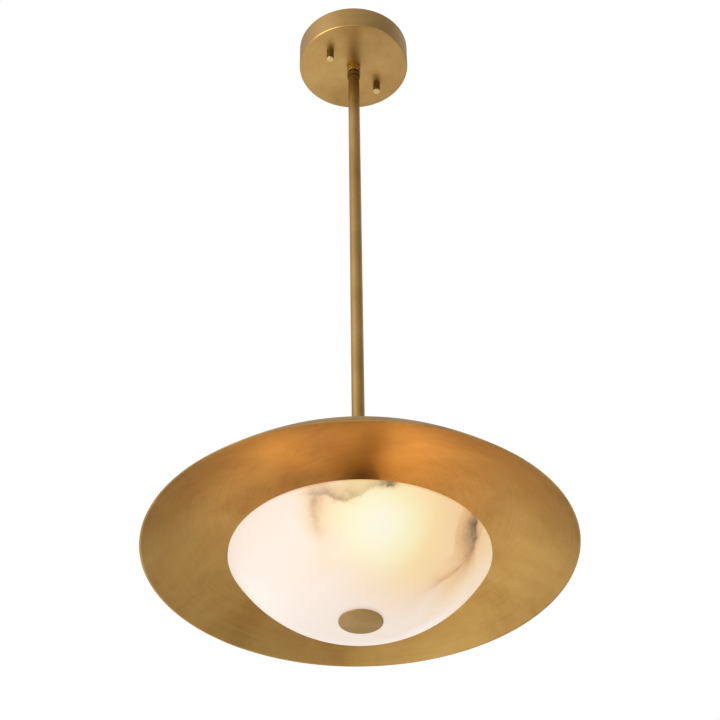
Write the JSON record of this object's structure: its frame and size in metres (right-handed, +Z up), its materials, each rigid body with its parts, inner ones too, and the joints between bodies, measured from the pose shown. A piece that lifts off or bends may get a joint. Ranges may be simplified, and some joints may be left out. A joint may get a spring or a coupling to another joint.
{
  "type": "pendant light",
  "caption": "Pendant light: a brass canopy with a ball swivel, a straight rod, a wide spun brass dish and a turned alabaster bowl that glows inside it.",
  "frame": {"origin": "centre of the ceiling plate's upper face, in the ceiling's plane", "axes": "+Z up to the ceiling, along the rod; the picture is taken from the -Y side, from below"},
  "size_m": [0.4, 0.4, 0.7718],
  "materials": {
    "steel": "zinc plated",
    "earth_brass": "plain",
    "block_plastic": "moulded",
    "brass": "antique, brushed",
    "grip_plastic": "moulded",
    "lead_sheath": "smooth",
    "seat_plastic": "smooth",
    "dish_brass": "antique, spun brushing",
    "core_sheath": "smooth",
    "felt": "felt",
    "alabaster": "polished, lets light through",
    "holder_ceramic": "fired, plain",
    "bulb_glass": "frosted"
  },
  "bodies": {
    "ceiling_side": {"ceiling_plate": "steel", "plate_studs": "steel", "stud_nuts": "steel", "earth_screw": "earth_brass", "terminal_block": "block_plastic", "terminal_screws": "steel", "canopy": "brass", "swivel_body": "brass", "tooth_washer": "steel", "spigot_nut": "steel", "cord_grip": "grip_plastic", "canopy_lead": "lead_sheath", "swivel_cup": "brass"},
    "left_nut": {"cap_nut_left": "brass"},
    "right_nut": {"cap_nut_right": "brass"},
    "swivel_seat": {"ball_seat": "seat_plastic"},
    "stem": {"swivel_ball": "brass", "rod_ferrule": "brass", "rod_plug": "brass", "rod": "brass", "rod_coupler": "brass", "dish_washer": "brass", "dish": "dish_brass", "lock_washer": "steel", "lock_nut": "steel", "stem_nipple": "steel", "lamp_hub": "brass", "hub_lid": "brass", "hub_nut": "steel", "tie_rod_reducer": "brass", "lamp_arms": "brass", "arm_nuts": "steel", "stem_lead": "lead_sheath", "holder_cores": "core_sheath", "tie_rod": "steel", "upper_felt": "felt", "bowl_washer": "steel", "bowl_nut": "steel", "lamp_holder_1": "holder_ceramic", "lamp_holder_2": "holder_ceramic", "lamp_holder_3": "holder_ceramic", "bulb_1": "bulb_glass", "bulb_2": "bulb_glass", "bulb_3": "bulb_glass"},
    "bowl": {"alabaster_bowl": "alabaster", "lower_felt": "felt"},
    "finial": {"finial": "brass"}
  },
  "joints": [
    {"name": "left_nut_turn", "type": "hinge", "parent": "ceiling_side", "child": "left_nut", "pos_m": [-0.02633, -0.02455, -0.0361], "axis": [0, 0, 1], "continuous": true},
    {"name": "right_nut_turn", "type": "hinge", "parent": "ceiling_side", "child": "right_nut", "pos_m": [0.02633, 0.02455, -0.0361], "axis": [0, 0, 1], "continuous": true},
    {"name": "stem_turn", "type": "hinge", "parent": "ceiling_side", "child": "swivel_seat", "pos_m": [0, 0, -0.0354], "axis": [0, 0, 1], "range_deg": [-170, 170]},
    {"name": "stem_tilt", "type": "hinge", "parent": "swivel_seat", "child": "stem", "pos_m": [0, 0, -0.0354], "axis": [1, 0, 0], "range_deg": [-15, 15]},
    {"name": "bowl_drop", "type": "slide", "parent": "stem", "child": "bowl", "axis": [0, 0, -1], "range_m": [0, 0.12]},
    {"name": "finial_turn", "type": "hinge", "parent": "bowl", "child": "finial", "pos_m": [0, 0, -0.7692], "axis": [0, 0, 1], "continuous": true}
  ]
}
